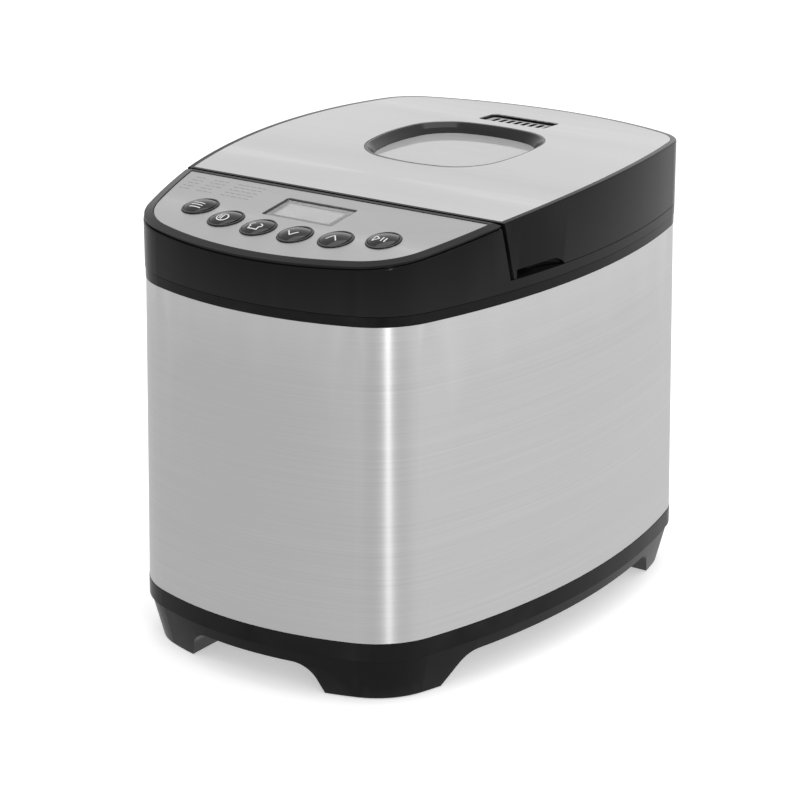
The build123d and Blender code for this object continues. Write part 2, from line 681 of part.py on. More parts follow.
def lid_shell():
    """Deep moulded lid: side walls, crowned deck, finger recesses, hinge barrels and posts."""
    shell = top_rounded(prism(0, LID_BOTTOM, ABOVE_ALL) & under_lid(0), 1.0) & behind_split(SPLIT_GAP / 2)
    hollow = prism(LID_WALL, LID_BOTTOM - 1, ABOVE_ALL) & under_lid(LID_DECK)
    hollow &= behind_split(SPLIT_GAP / 2 + LID_WALL)
    for lining in both_sides(grip_cut(GRIP_LINING)):
        hollow -= lining
    shell -= hollow
    for cut in both_sides(grip_cut(0)):
        shell -= cut
    seat = prism(SKIN_INSET - 0.25, LID_BOTTOM, ABOVE_ALL) & behind_split(SPLIT_GAP / 2 + SKIN_FRONT_GAP - 0.2)
    shell -= seat - under_lid(SKIN_GAUGE)
    for x, y in LID_SCREW_SPOTS:
        shell += rod(LID_POST_R, LID_PANEL_TOP, LID_PEAK, x, y) & under_lid(LID_DECK - 0.5)
        shell -= rod(SCREW_R, LID_PANEL_TOP - 1, LID_PANEL_TOP + 10, x, y)
    shell -= block(-57, 57, HINGE_Y - 3, HALF_DEPTH + 5, LID_BOTTOM - 1, HINGE_Z + 0.4)
    for notch in hinge_notches():
        shell -= notch
    for knuckle in lid_knuckles():
        shell += knuckle
    shell -= window_block(0.2, LID_BOTTOM, ABOVE_ALL)
    return shell - vent_block(0, LID_BOTTOM)


def vent_block(grow, bottom):
    """Rounded rectangle where the steam vent passes through the lid."""
    face = Pos(0, VENT_Y, bottom) * RectangleRounded(VENT_W + 2 * grow, VENT_L + 2 * grow, 3.0)
    return extrude(face, amount=ABOVE_ALL - bottom)


def lid_skin():
    """Crowned steel cover let into the top of the lid."""
    skin = prism(SKIN_INSET, LID_BOTTOM, ABOVE_ALL) & behind_split(SPLIT_GAP / 2 + SKIN_FRONT_GAP)
    skin = (skin & under_lid(0)) - under_lid(SKIN_GAUGE)
    return skin - window_block(0, LID_BOTTOM, ABOVE_ALL) - vent_block(0.2, LID_BOTTOM)


def window_bezel():
    """Gloss frame round the lid window: sloping lip, steep wall and the viewing tunnel below."""
    seat = WINDOW_GLASS_Z - WINDOW_GLASS_GAUGE
    frame = window_block(0.3, seat - 3, ABOVE_ALL) & under_lid(0.2)
    frame += window_block(WINDOW_LEDGE_INSET - TUNNEL_GAUGE, LID_PANEL_BOTTOM, seat)
    floor = Pos(0, WINDOW_Y, WINDOW_GLASS_Z) * window_face(WINDOW_WALL_INSET)
    lip = Pos(0, WINDOW_Y, WINDOW_LIP_Z) * window_face(WINDOW_LIP_INSET)
    mouth = Pos(0, WINDOW_Y, LID_PEAK + 0.5) * window_face(0.6)
    frame -= loft([floor, lip], ruled=True)
    frame -= loft([lip, mouth], ruled=True)
    frame -= window_block(WINDOW_LEDGE_INSET, LID_PANEL_BOTTOM - PAST, ABOVE_ALL)
    return frame - window_block(WINDOW_WALL_INSET + 0.4, seat, WINDOW_GLASS_Z)


def window_glass():
    """Outer pane of the lid window."""
    return window_block(WINDOW_WALL_INSET + 0.6, WINDOW_GLASS_Z - WINDOW_GLASS_GAUGE, WINDOW_GLASS_Z - 0.1)


def vent_grille():
    """Slotted plate let into the steam vent's recess, with a flange under the deck."""
    grille = (vent_block(0, LID_BOTTOM) & under_lid(VENT_RECESS)) - under_lid(LID_DECK)
    grille += (vent_block(VENT_FLANGE, LID_BOTTOM) & under_lid(LID_DECK)) - under_lid(LID_DECK + VENT_GAUGE)
    for slot in range(VENT_SLOTS):
        x = (slot - (VENT_SLOTS - 1) / 2) * VENT_PITCH
        face = Pos(x, VENT_Y, LID_BOTTOM) * RectangleRounded(VENT_SLOT_W, VENT_L - 4, VENT_SLOT_W / 2 - 0.1)
        grille -= extrude(face, amount=ABOVE_ALL - LID_BOTTOM)
    return grille


def lid_inner():
    """Flat moulded panel that closes the underside of the lid."""
    panel = prism(LID_WALL + 0.1, LID_PANEL_BOTTOM, LID_PANEL_TOP)
    panel &= behind_split(SPLIT_GAP / 2 + LID_WALL + 0.1)
    for lining in both_sides(grip_cut(GRIP_LINING + 0.1)):
        panel -= lining
    panel -= block(-60, 60, HINGE_Y - KNUCKLE_R - 3, HALF_DEPTH + 5, LID_BOTTOM, LID_PANEL_TOP + 1)
    panel -= rounded_block(
        CHAMBER_HALF_X - 2, CHAMBER_HALF_Y - 2, CHAMBER_CORNER - 2, LID_BOTTOM, LID_PANEL_TOP + 1
    )
    for x, y in LID_SCREW_SPOTS:
        panel -= rod(SCREW_R, LID_BOTTOM, LID_PANEL_TOP + 1, x, y)
    return panel


def lid_liner():
    """Aluminium tray that faces the chamber, with the window hole and steam holes."""
    outer = rounded_block(
        CHAMBER_HALF_X - LINER_INSET, CHAMBER_HALF_Y - LINER_INSET, CHAMBER_CORNER - LINER_INSET,
        LINER_BOTTOM, LID_PANEL_TOP + 4,
    )
    inner = rounded_block(
        CHAMBER_HALF_X - LINER_INSET - 1, CHAMBER_HALF_Y - LINER_INSET - 1, CHAMBER_CORNER - LINER_INSET - 1,
        LINER_BOTTOM + 1, LID_PANEL_TOP + 5,
    )
    flange = rounded_block(
        CHAMBER_HALF_X + 2, CHAMBER_HALF_Y + 2, CHAMBER_CORNER, LID_PANEL_TOP, LID_PANEL_TOP + 1
    )
    flange -= rounded_block(
        CHAMBER_HALF_X - LINER_INSET - 1, CHAMBER_HALF_Y - LINER_INSET - 1, CHAMBER_CORNER - LINER_INSET - 1,
        LID_PANEL_TOP - 1, LID_PANEL_TOP + 2,
    )
    liner = outer - inner + flange
    liner -= window_block(WINDOW_LEDGE_INSET + 1, LINER_BOTTOM - PAST, LINER_BOTTOM + 3)
    for slot in range(VENT_SLOTS):
        x = (slot - (VENT_SLOTS - 1) / 2) * VENT_PITCH
        liner -= rod(1.6, LINER_BOTTOM - 1, LINER_BOTTOM + 2, x, VENT_Y)
    return liner


def inner_glass():
    """Lower pane of the window, held on the liner."""
    return window_block(6.5, LINER_BOTTOM + 1.0, LINER_BOTTOM + 4)


def lid_seal():
    """Silicone ring under the lid panel, just clear of the deck."""
    outer = rounded_block(CHAMBER_HALF_X + 6, CHAMBER_HALF_Y + 6, CHAMBER_CORNER + 6, RIM_TOP + 0.1, LID_PANEL_BOTTOM)
    inner = rounded_block(CHAMBER_HALF_X + 2, CHAMBER_HALF_Y + 2, CHAMBER_CORNER + 2, RIM_TOP, LID_PANEL_BOTTOM + 1)
    return outer - inner


def lid_screws():
    """Four screws that hold the underside panel to the lid's posts."""
    screws = []
    for x, y in LID_SCREW_SPOTS:
        head = rod(SCREW_HEAD_R - 0.5, LID_PANEL_BOTTOM - 0.7, LID_PANEL_BOTTOM, x, y)
        screws.append(head + rod(SCREW_R, LID_PANEL_BOTTOM, LID_PANEL_TOP + 9, x, y))
    return screws


def hinge_pins():
    """Two steel pins through the hinge barrels."""
    pin = bar_x(PIN_R, LID_KNUCKLE_X[0] - 1, FIXED_KNUCKLE_X[1], HINGE_Y, HINGE_Z)
    return both_sides(pin)


# ---- baking chamber --------------------------------------------------------------------------
def chamber_shell():
    """Coated sheet-metal box that the pan stands in, open at the top."""
    top = DECK_BOTTOM - 0.8
    outer = rounded_block(
        CHAMBER_HALF_X + CHAMBER_GAUGE, CHAMBER_HALF_Y + CHAMBER_GAUGE, CHAMBER_CORNER + CHAMBER_GAUGE,
        CHAMBER_FLOOR, top,
    )
    inner = rounded_block(
        CHAMBER_HALF_X, CHAMBER_HALF_Y, CHAMBER_CORNER, CHAMBER_FLOOR + CHAMBER_GAUGE, DECK_BOTTOM + 1
    )
    flange = rounded_block(CHAMBER_HALF_X + 7, CHAMBER_HALF_Y + 7, CHAMBER_CORNER + 7, top, DECK_BOTTOM)
    barrel_hole = rod(SPINDLE_BARREL_R + 0.1, CHAMBER_FLOOR - PAST, CHAMBER_FLOOR + 2, 0, CHAMBER_Y)
    shell = outer + flange - inner - barrel_hole
    for x in (-ELEMENT_LEAD_X, ELEMENT_LEAD_X):
        shell -= Pos(x, CHAMBER_Y - CHAMBER_HALF_Y, ELEMENT_Z) * Rot(90, 0, 0) * Cylinder(ELEMENT_R + 0.2, 10)
    shell -= Pos(SENSOR_X, CHAMBER_Y - CHAMBER_HALF_Y, SENSOR_Z) * Rot(90, 0, 0) * Cylinder(3.2, 10)
    return shell


def heating_element():
    """Sheathed heater bent round the foot of the pan, its two ends out through the front wall."""
    front = CHAMBER_Y - ELEMENT_HALF_Y
    back = CHAMBER_Y + ELEMENT_HALF_Y
    outside = front - 20
    points = [
        (-ELEMENT_LEAD_X, outside, ELEMENT_Z),
        (-ELEMENT_LEAD_X, front, ELEMENT_Z),
        (-ELEMENT_HALF_X, front, ELEMENT_Z),
        (-ELEMENT_HALF_X, back, ELEMENT_Z),
        (ELEMENT_HALF_X, back, ELEMENT_Z),
        (ELEMENT_HALF_X, front, ELEMENT_Z),
        (ELEMENT_LEAD_X, front, ELEMENT_Z),
        (ELEMENT_LEAD_X, outside, ELEMENT_Z),
    ]
    path = FilletPolyline(*points, radius=[6, 24, 24, 24, 24, 6])
    section = Plane(origin=points[0], z_dir=(0, 1, 0)) * Circle(ELEMENT_R)
    return sweep(section, path=path)


def element_clips():
    """Hangers that hold the heater to the chamber's side walls."""
    clips = []
    for y in (CHAMBER_Y - 40, CHAMBER_Y + 40):
        ring = Pos(ELEMENT_HALF_X, y, ELEMENT_Z) * Rot(90, 0, 0) * Cylinder(ELEMENT_R + 1.2, 8)
        tab = block(ELEMENT_HALF_X, CHAMBER_HALF_X, y - 4, y + 4, ELEMENT_Z - 1, ELEMENT_Z + 1)
        bore = Pos(ELEMENT_HALF_X, y, ELEMENT_Z) * Rot(90, 0, 0) * Cylinder(ELEMENT_R, 20)
        clips += both_sides(ring + tab - bore)
    return clips


def temperature_sensor():
    """Probe through the chamber's front wall, with its mounting flange outside."""
    face_y = CHAMBER_Y - CHAMBER_HALF_Y
    probe = Pos(SENSOR_X, face_y - 2, SENSOR_Z) * Rot(90, 0, 0) * Cylinder(3.0, 24)
    flange = block(SENSOR_X - 9, SENSOR_X + 9, face_y - 3, face_y - 1, SENSOR_Z - 5, SENSOR_Z + 5)
    return probe + flange


def heat_shield():
    """Sheet between the hot chamber and the motor and controls."""
    shield = block(-96, 96, SHIELD_Y - 0.5, SHIELD_Y + 0.5, CHASSIS_TOP, WRAP_TOP - 4)
    for x, z, radius in ((-ELEMENT_LEAD_X, ELEMENT_Z, 6), (ELEMENT_LEAD_X, ELEMENT_Z, 6), (SENSOR_X, SENSOR_Z, 5)):
        shield -= Pos(x, SHIELD_Y, z) * Rot(90, 0, 0) * Cylinder(radius, 6)
    return shield


def pan_socket():
    """Flanged ring on the chamber floor that the pan's collar drops into."""
    bottom = CHAMBER_FLOOR + CHAMBER_GAUGE
    inner = COLLAR_R + 0.5
    ring = tube(inner + SOCKET_WALL, inner, bottom, bottom + 11, 0, CHAMBER_Y)
    foot = tube(inner + 8, inner, bottom, bottom + 1.5, 0, CHAMBER_Y)
    return ring + foot


# ---- bread pan ---------------------------------------------------------------------------------
def bread_pan():
    """Deep drawn pan with a flanged rim and a hole for the paddle shaft's bearing."""
    outer = rounded_block(PAN_HALF_X, PAN_HALF_Y, PAN_CORNER, PAN_FLOOR, PAN_TOP)
    outer = fillet(outer.edges().group_by(Axis.Z)[0], 7)
    inner = rounded_block(
        PAN_HALF_X - PAN_GAUGE, PAN_HALF_Y - PAN_GAUGE, PAN_CORNER - PAN_GAUGE, PAN_FLOOR + PAN_GAUGE, PAN_TOP + 5
    )
    inner = fillet(inner.edges().group_by(Axis.Z)[0], 5.6)
    rim = rounded_block(
        PAN_HALF_X + PAN_RIM, PAN_HALF_Y + PAN_RIM, PAN_CORNER + PAN_RIM, PAN_TOP - 2.5, PAN_TOP
    )
    rim = fillet(rim.edges().group_by(Axis.Z)[-1], 1.0)
    pan = outer + rim - inner - rod(PAN_BEARING_R, PAN_FLOOR - 1, PAN_FLOOR + 5, 0, CHAMBER_Y)
    return pan


def pan_collar():
    """Pressed ring under the pan that plugs into the chamber's socket."""
    bottom = CHAMBER_FLOOR + CHAMBER_GAUGE + 0.4
    ring = tube(COLLAR_R, COLLAR_R - COLLAR_WALL, bottom, PAN_FLOOR, 0, CHAMBER_Y)
    plate = tube(COLLAR_R, PAN_BEARING_R, PAN_FLOOR - 1.2, PAN_FLOOR, 0, CHAMBER_Y)
    return ring + plate


def pan_bearing():
    """Flanged bearing for the paddle shaft, through the pan's floor."""
    body = rod(PAN_BEARING_R, PAN_BEARING_BOTTOM, PAN_BEARING_TOP, 0, CHAMBER_Y)
    flange = rod(PAN_BEARING_R + 5, PAN_FLOOR + PAN_GAUGE, PAN_FLOOR + PAN_GAUGE + 1.5, 0, CHAMBER_Y)
    bore = rod(SHAFT_R + RUNNING_CLEARANCE, PAN_FLOOR - 10, PAN_BEARING_TOP + 1, 0, CHAMBER_Y)
    return body + flange - bore


def pan_seal():
    """Rubber lip ring on top of the pan's bearing."""
    return tube(7.5, SHAFT_R + 0.3, PAN_BEARING_TOP, PAN_BEARING_TOP + 1.5, 0, CHAMBER_Y)


def handle_pivots():
    """Two riveted studs on the pan's long walls that carry the handle."""
    stud = bar_x(2.5, PAN_HALF_X, HANDLE_HALF_X + 3.4, CHAMBER_Y, HANDLE_PIVOT_Z)
    plate = block(PAN_HALF_X, PAN_HALF_X + 1.5, CHAMBER_Y - 9, CHAMBER_Y + 9, HANDLE_PIVOT_Z - 9, HANDLE_PIVOT_Z + 5)
    head = bar_x(4.0, HANDLE_HALF_X + 2.7, HANDLE_HALF_X + 4.0, CHAMBER_Y, HANDLE_PIVOT_Z)
    return both_sides(stud + plate + head)


def pan_handle():
    """Wire bail with an eye at each end, lying flat round the back of the pan."""
    far = CHAMBER_Y + HANDLE_REACH
    points = [
        (-HANDLE_HALF_X, CHAMBER_Y + 4, HANDLE_PIVOT_Z),
        (-HANDLE_HALF_X, far, HANDLE_PIVOT_Z),
        (HANDLE_HALF_X, far, HANDLE_PIVOT_Z),
        (HANDLE_HALF_X, CHAMBER_Y + 4, HANDLE_PIVOT_Z),
    ]
    path = FilletPolyline(*points, radius=26)
    section = Plane(origin=points[0], z_dir=(0, 1, 0)) * Circle(HANDLE_ROD_R)
    handle = sweep(section, path=path)
    eye = bar_x(5.0, HANDLE_HALF_X - 2.3, HANDLE_HALF_X + 2.3, CHAMBER_Y, HANDLE_PIVOT_Z)
    for piece in both_sides(eye):
        handle += piece
    return handle - bar_x(2.5 + PIN_CLEARANCE, -100, 100, CHAMBER_Y, HANDLE_PIVOT_Z)


# ---- paddle ------------------------------------------------------------------------------------
def pan_shaft():
    """Short shaft through the pan's floor."""
    return chamfer(rod(SHAFT_R, COUPLING_TOP - 5, SHAFT_TOP, 0, CHAMBER_Y).edges().group_by(Axis.Z)[-1], 0.8)


def pan_coupling():
    """Hub under the pan with two dogs that reach down beside the drive bar."""
    hub = rod(10, DOG_TOP, COUPLING_TOP, 0, CHAMBER_Y)
    for side in (-1, 1):
        hub += block(-3, 3, CHAMBER_Y + side * 7 - 2.5, CHAMBER_Y + side * 7 + 2.5, DOG_BOTTOM, DOG_TOP + 1)
    return hub - rod(SHAFT_R, COUPLING_TOP - 5, COUPLING_TOP + 1, 0, CHAMBER_Y)


def kneading_paddle():
    """Cast blade on a hub that slips over the shaft."""
    hub = rod(8.5, 98.2, 118, 0, CHAMBER_Y)
    hub = fillet(hub.edges().group_by(Axis.Z)[-1], 3)
    profile = make_face(
        [
            Line((0, 98.6), (42, 98.6)),
            Line((42, 98.6), (43, 108)),
            ThreePointArc((43, 108), (34, 122), (20, 124)),
            ThreePointArc((20, 124), (8, 120), (0, 112)),
            Line((0, 112), (0, 98.6)),
        ]
    )
    blade = extrude(Plane.XZ * profile, amount=3, both=True)
    blade = Pos(0, CHAMBER_Y, 0) * blade
    return hub + blade - rod(SHAFT_R, PAN_FLOOR, SHAFT_TOP, 0, CHAMBER_Y)


# ---- drive -------------------------------------------------------------------------------------
def chassis_plate():
    """Steel plate on the base posts that carries the motor and the spindle."""
    face = RectangleRounded(150, 262, 14)
    plate = extrude(Pos(0, -8, CHASSIS_BOTTOM) * face, amount=CHASSIS_TOP - CHASSIS_BOTTOM)
    for x, y in POST_SPOTS:
        plate -= rod(SCREW_R, CHASSIS_BOTTOM - 1, CHASSIS_TOP + 1, x, y)
    plate -= rod(12, CHASSIS_BOTTOM - 1, CHASSIS_TOP + 1, 0, MOTOR_Y)
    return plate - rod(SPINDLE_BUSH_R, CHASSIS_BOTTOM - 1, CHASSIS_TOP + 1, 0, CHAMBER_Y)


def spindle_housing():
    """Flanged bearing tube from the chassis plate up through the chamber floor."""
    flange = rod(26, CHASSIS_TOP, CHASSIS_TOP + 3.5, 0, CHAMBER_Y)
    barrel = rod(SPINDLE_BARREL_R, CHASSIS_TOP, SPINDLE_TOP, 0, CHAMBER_Y)
    return flange + barrel - rod(SPINDLE_BUSH_R, CHASSIS_TOP - 1, SPINDLE_TOP + 1, 0, CHAMBER_Y)


def spindle_bushes():
    """Two sintered bushes for the drive spindle."""
    bore = SHAFT_R + RUNNING_CLEARANCE
    lower = tube(SPINDLE_BUSH_R, bore, CHASSIS_BOTTOM, CHASSIS_TOP + 8, 0, CHAMBER_Y)
    upper = tube(SPINDLE_BUSH_R, bore, SPINDLE_TOP - 8, SPINDLE_TOP, 0, CHAMBER_Y)
    return [lower, upper]


def drive_spindle():
    """Vertical shaft from the large pulley to the chamber."""
    return rod(SHAFT_R, PULLEY_BOTTOM - 2.5, 76.0, 0, CHAMBER_Y)


def drive_coupling():
    """Cross-bar on top of the spindle that drives the pan's dogs."""
    bar = block(-13, 13, CHAMBER_Y - 3, CHAMBER_Y + 3, SPINDLE_TOP + 1, 76.5)
    return bar - rod(SHAFT_R, SPINDLE_TOP, 76.0, 0, CHAMBER_Y)


def grooved_pulley(radius, bore, x, y):
    """Pulley with a flange above and below the belt's track."""
    pulley = rod(radius, PULLEY_BOTTOM, PULLEY_TOP, x, y)
    pulley += rod(radius + 2.5, PULLEY_BOTTOM, PULLEY_BOTTOM + 1, x, y)
    pulley += rod(radius + 2.5, PULLEY_TOP - 1, PULLEY_TOP, x, y)
    return pulley - rod(bore, PULLEY_BOTTOM - 1, PULLEY_TOP + 1, x, y)


def large_pulley():
    """Driven pulley, dished, with lightening holes."""
    pulley = grooved_pulley(BIG_PULLEY_R, SHAFT_R, 0, CHAMBER_Y)
    for top in (False, True):
        low = PULLEY_TOP - 3 if top else PULLEY_BOTTOM - 1
        high = PULLEY_TOP + 1 if top else PULLEY_BOTTOM + 3
        pulley -= tube(BIG_PULLEY_R - 4, 11, low, high, 0, CHAMBER_Y)
    for turn in range(6):
        spot = Rot(0, 0, 60 * turn + 30) * Pos(32, 0, 33) * Cylinder(9, 20)
        pulley -= Pos(0, CHAMBER_Y, 0) * spot
    return pulley


def small_pulley():
    """Driving pulley on the motor shaft."""
    return grooved_pulley(SMALL_PULLEY_R, MOTOR_SHAFT_R, 0, MOTOR_Y)


def belt_area(grow):
    """Plan area inside a belt that wraps both pulleys, grown by a constant distance."""
    big = BIG_PULLEY_R + grow
    small = SMALL_PULLEY_R + grow
    lean = math.asin((big - small) / (CHAMBER_Y - MOTOR_Y))
    across = math.cos(lean)
    down = math.sin(lean)
    points = [
        (big * across, CHAMBER_Y - big * down),
        (small * across, MOTOR_Y - small * down),
        (-small * across, MOTOR_Y - small * down),
        (-big * across, CHAMBER_Y - big * down),
    ]
    area = make_face(Polyline(*points, close=True))
    return area + Pos(0, CHAMBER_Y) * Circle(big) + Pos(0, MOTOR_Y) * Circle(small)


def drive_belt():
    """Flat belt round both pulleys."""
    low = PULLEY_BOTTOM + 1.6
    height = PULLEY_TOP - PULLEY_BOTTOM - 3.2
    loop = belt_area(BELT_GAP + BELT_GAUGE) - belt_area(BELT_GAP)
    return extrude(Pos(0, 0, low) * loop, amount=height)


# ---- motor -------------------------------------------------------------------------------------
def motor_stator():
    """Laminated stack with a round bore."""
    face = RectangleRounded(78, 78, 10)
    stack = extrude(Pos(0, MOTOR_Y, STATOR_BOTTOM) * face, amount=STATOR_TOP - STATOR_BOTTOM)
    for x, y in MOTOR_BOLT_SPOTS:
        stack -= rod(SCREW_R, STATOR_BOTTOM - 1, STATOR_TOP + 1, x, y)
    return stack - rod(ROTOR_R + 0.6, STATOR_BOTTOM - 1, STATOR_TOP + 1, 0, MOTOR_Y)


def motor_bracket(bottom, top, cap_low, cap_high):
    """Cup that holds one motor bearing and reaches the stack."""
    cup = tube(MOTOR_CUP_R, MOTOR_CUP_R - 3, bottom, top, 0, MOTOR_Y)
    cup += rod(MOTOR_CUP_R, cap_low, cap_high, 0, MOTOR_Y)
    for x, y in MOTOR_BOLT_SPOTS:
        cup += rod(6, bottom, top, x, y)
        cup -= rod(SCREW_R, bottom - 1, top + 1, x, y)
    return cup - rod(BEARING_R, bottom - 1, top + 1, 0, MOTOR_Y)


def motor_brackets():
    """Lower and upper end cups of the motor."""
    lower = motor_bracket(CHASSIS_TOP, STATOR_BOTTOM, CHASSIS_TOP, CHASSIS_TOP + 4)
    upper = motor_bracket(STATOR_TOP, MOTOR_TOP, MOTOR_TOP - 4, MOTOR_TOP)
    return [lower, upper]


def motor_bearings():
    """Plain bearings in the two end cups."""
    bore = MOTOR_SHAFT_R + RUNNING_CLEARANCE
    lower = tube(BEARING_R, bore, CHASSIS_TOP, CHASSIS_TOP + 6, 0, MOTOR_Y)
    upper = tube(BEARING_R, bore, MOTOR_TOP - 6, MOTOR_TOP, 0, MOTOR_Y)
    return [lower, upper]


def motor_shaft():
    """Motor shaft, long enough to carry the small pulley."""
    return rod(MOTOR_SHAFT_R, PULLEY_BOTTOM - 1, 114, 0, MOTOR_Y)


def rotor_core():
    """Squirrel-cage rotor."""
    return tube(ROTOR_R, MOTOR_SHAFT_R, STATOR_BOTTOM - 1, STATOR_TOP + 1, 0, MOTOR_Y)


# ---- electrics -----------------------------------------------------------------------------------
def power_board():
    """Upright power board beside the motor."""
    board = block(-90, -88.4, -140, -70, 120, 205)
    relay = block(-88.4, -72, -132, -112, 150, 172)
    transformer = block(-88.4, -60, -106, -78, 130, 158)
    return board + relay + transformer


NODES = {
    "base_shell": base_shell,
    "foot_pads": foot_pads,
    "base_screws": base_screws,
    "cord_gland": cord_gland,
    "steel_wrap": steel_wrap,
    "trim_ring": trim_ring,
    "top_frame": top_frame,
    "panel_bezel": panel_bezel,
    "control_fascia": control_fascia,
    "panel_carrier": panel_carrier,
    "display_lens": display_lens,
    "lcd_module": lcd_module,
    "control_board": control_board,
    "button_switches": button_switches,
    "lid_shell": lid_shell,
    "lid_skin": lid_skin,
    "window_bezel": window_bezel,
    "window_glass": window_glass,
    "vent_grille": vent_grille,
    "lid_inner": lid_inner,
    "lid_liner": lid_liner,
    "inner_glass": inner_glass,
    "lid_seal": lid_seal,
    "lid_screws": lid_screws,
    "hinge_pins": hinge_pins,
    "chamber_shell": chamber_shell,
    "heating_element": heating_element,
    "element_clips": element_clips,
    "temperature_sensor": temperature_sensor,
    "heat_shield": heat_shield,
    "pan_socket": pan_socket,
    "bread_pan": bread_pan,
    "pan_collar": pan_collar,
    "pan_bearing": pan_bearing,
    "pan_seal": pan_seal,
    "handle_pivots": handle_pivots,
    "pan_handle": pan_handle,
    "pan_shaft": pan_shaft,
    "pan_coupling": pan_coupling,
    "kneading_paddle": kneading_paddle,
    "power_board": power_board,
    "chassis_plate": chassis_plate,
    "spindle_housing": spindle_housing,
    "spindle_bushes": spindle_bushes,
    "drive_spindle": drive_spindle,
    "drive_coupling": drive_coupling,
    "large_pulley": large_pulley,
    "small_pulley": small_pulley,
    "drive_belt": drive_belt,
    "motor_stator": motor_stator,
    "motor_brackets": motor_brackets,
    "motor_bearings": motor_bearings,
    "motor_shaft": motor_shaft,
    "rotor_core": rotor_core,
}


def write(node, shape):
    """Write one node, as a compound when it holds several solids."""
    solids = shape if isinstance(shape, list) else [shape]
    whole = solids[0] if len(solids) == 1 else Compound(children=[Part() + solid for solid in solids])
    export_step(whole, f"parts/{node}.step")


os.makedirs("parts", exist_ok=True)
for node, make in NODES.items():
    write(node, make())
for node in BUTTON_SPOTS:
    write(node, button_cap(node))
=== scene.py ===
import json
import math

import bmesh
import bpy
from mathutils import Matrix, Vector
from mathutils.bvhtree import BVHTree


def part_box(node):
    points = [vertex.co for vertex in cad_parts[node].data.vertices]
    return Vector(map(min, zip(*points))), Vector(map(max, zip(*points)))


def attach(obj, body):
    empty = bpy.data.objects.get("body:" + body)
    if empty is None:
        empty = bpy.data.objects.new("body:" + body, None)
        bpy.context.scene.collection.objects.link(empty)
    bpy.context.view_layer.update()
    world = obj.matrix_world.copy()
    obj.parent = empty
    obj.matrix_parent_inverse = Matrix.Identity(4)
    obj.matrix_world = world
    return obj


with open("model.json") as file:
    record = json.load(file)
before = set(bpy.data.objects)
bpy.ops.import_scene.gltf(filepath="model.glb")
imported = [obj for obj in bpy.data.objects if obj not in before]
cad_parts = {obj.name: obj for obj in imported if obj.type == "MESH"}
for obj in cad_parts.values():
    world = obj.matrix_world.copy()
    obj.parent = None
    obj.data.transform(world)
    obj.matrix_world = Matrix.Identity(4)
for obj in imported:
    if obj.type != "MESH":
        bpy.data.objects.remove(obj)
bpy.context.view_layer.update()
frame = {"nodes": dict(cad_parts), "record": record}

NODES = frame["nodes"]
MM = 0.001
CLOUD_SCALE = (14, 14, 14)
BLOTCH_SCALE = (9, 9, 9)
SMEAR_SCALE = (30, 90, 30)
BLOTCH_SIZE = 220
FINE_GRAIN = 1400
GRAIN_DEPTH = 0.00003
GRAIN_STRENGTH = 0.2
BRUSH_DEPTH = 0.00005
BLOTCH_DEPTH = 0.00008
BLOTCH_STRENGTH = 0.15
WEAR_RANGE = (0.53, 0.64)
BRUSH_TURN = 0.25
CLEAR_IOR = 1.45
# Normal height below which the vent grille's faces are painted black as shade.
SLOT_SHADE_NORMAL_Z = 0.5
MASK_BORDER = -0.3 * MM
BLACK = (0.0035, 0.0035, 0.0037)


# ---- node helpers ---------------------------------------------------------------------------
def new_material(name):
    """An empty node material and its Principled shader."""
    material = bpy.data.materials.new(name)
    material.use_nodes = True
    tree = material.node_tree
    tree.nodes.clear()
    output = tree.nodes.new("ShaderNodeOutputMaterial")
    shader = tree.nodes.new("ShaderNodeBsdfPrincipled")
    tree.links.new(shader.outputs["BSDF"], output.inputs["Surface"])
    return material, tree, shader


def object_point(tree):
    """Position in the object's own frame, in metres."""
    return tree.nodes.new("ShaderNodeTexCoord").outputs["Object"]


def noise(tree, scale, detail=3.0, roughness=0.5):
    """Noise with its own scale on each axis."""
    mapping = tree.nodes.new("ShaderNodeMapping")
    mapping.inputs["Scale"].default_value = scale
    tree.links.new(object_point(tree), mapping.inputs["Vector"])
    texture = tree.nodes.new("ShaderNodeTexNoise")
    texture.inputs["Scale"].default_value = 1.0
    texture.inputs["Detail"].default_value = detail
    texture.inputs["Roughness"].default_value = roughness
    tree.links.new(mapping.outputs["Vector"], texture.inputs["Vector"])
    return texture.outputs["Fac"]


def remap(tree, value, low, high, from_low=0.3, from_high=0.7):
    """Value moved from one range to another, clamped."""
    node = tree.nodes.new("ShaderNodeMapRange")
    node.inputs["From Min"].default_value = from_low
    node.inputs["From Max"].default_value = from_high
    node.inputs["To Min"].default_value = low
    node.inputs["To Max"].default_value = high
    tree.links.new(value, node.inputs["Value"])
    return node.outputs["Result"]


def math_node(tree, operation, first, second):
    """One arithmetic step; each input is a socket or a number."""
    node = tree.nodes.new("ShaderNodeMath")
    node.operation = operation
    for socket, value in zip(node.inputs, (first, second)):
        if isinstance(value, (int, float)):
            socket.default_value = value
        else:
            tree.links.new(value, socket)
    return node.outputs["Value"]


def mix_colour(tree, factor, first, second):
    """Colour between two; each is a socket or a tuple."""
    node = tree.nodes.new("ShaderNodeMix")
    node.data_type = "RGBA"
    tree.links.new(factor, node.inputs["Factor"])
    for socket, value in ((node.inputs["A"], first), (node.inputs["B"], second)):
        if isinstance(value, tuple):
            socket.default_value = (*value, 1)
        else:
            tree.links.new(value, socket)
    return node.outputs["Result"]


def add_bump(tree, shader, height, strength, distance):
    """Bump from a height value."""
    bump = tree.nodes.new("ShaderNodeBump")
    bump.inputs["Strength"].default_value = strength
    bump.inputs["Distance"].default_value = distance
    tree.links.new(height, bump.inputs["Height"])
    tree.links.new(bump.outputs["Normal"], shader.inputs["Normal"])


def edge_wear(tree):
    """0 on flat surfaces, towards 1 along convex edges."""
    geometry = tree.nodes.new("ShaderNodeNewGeometry")
    return remap(tree, geometry.outputs["Pointiness"], 0.0, 1.0, *WEAR_RANGE)


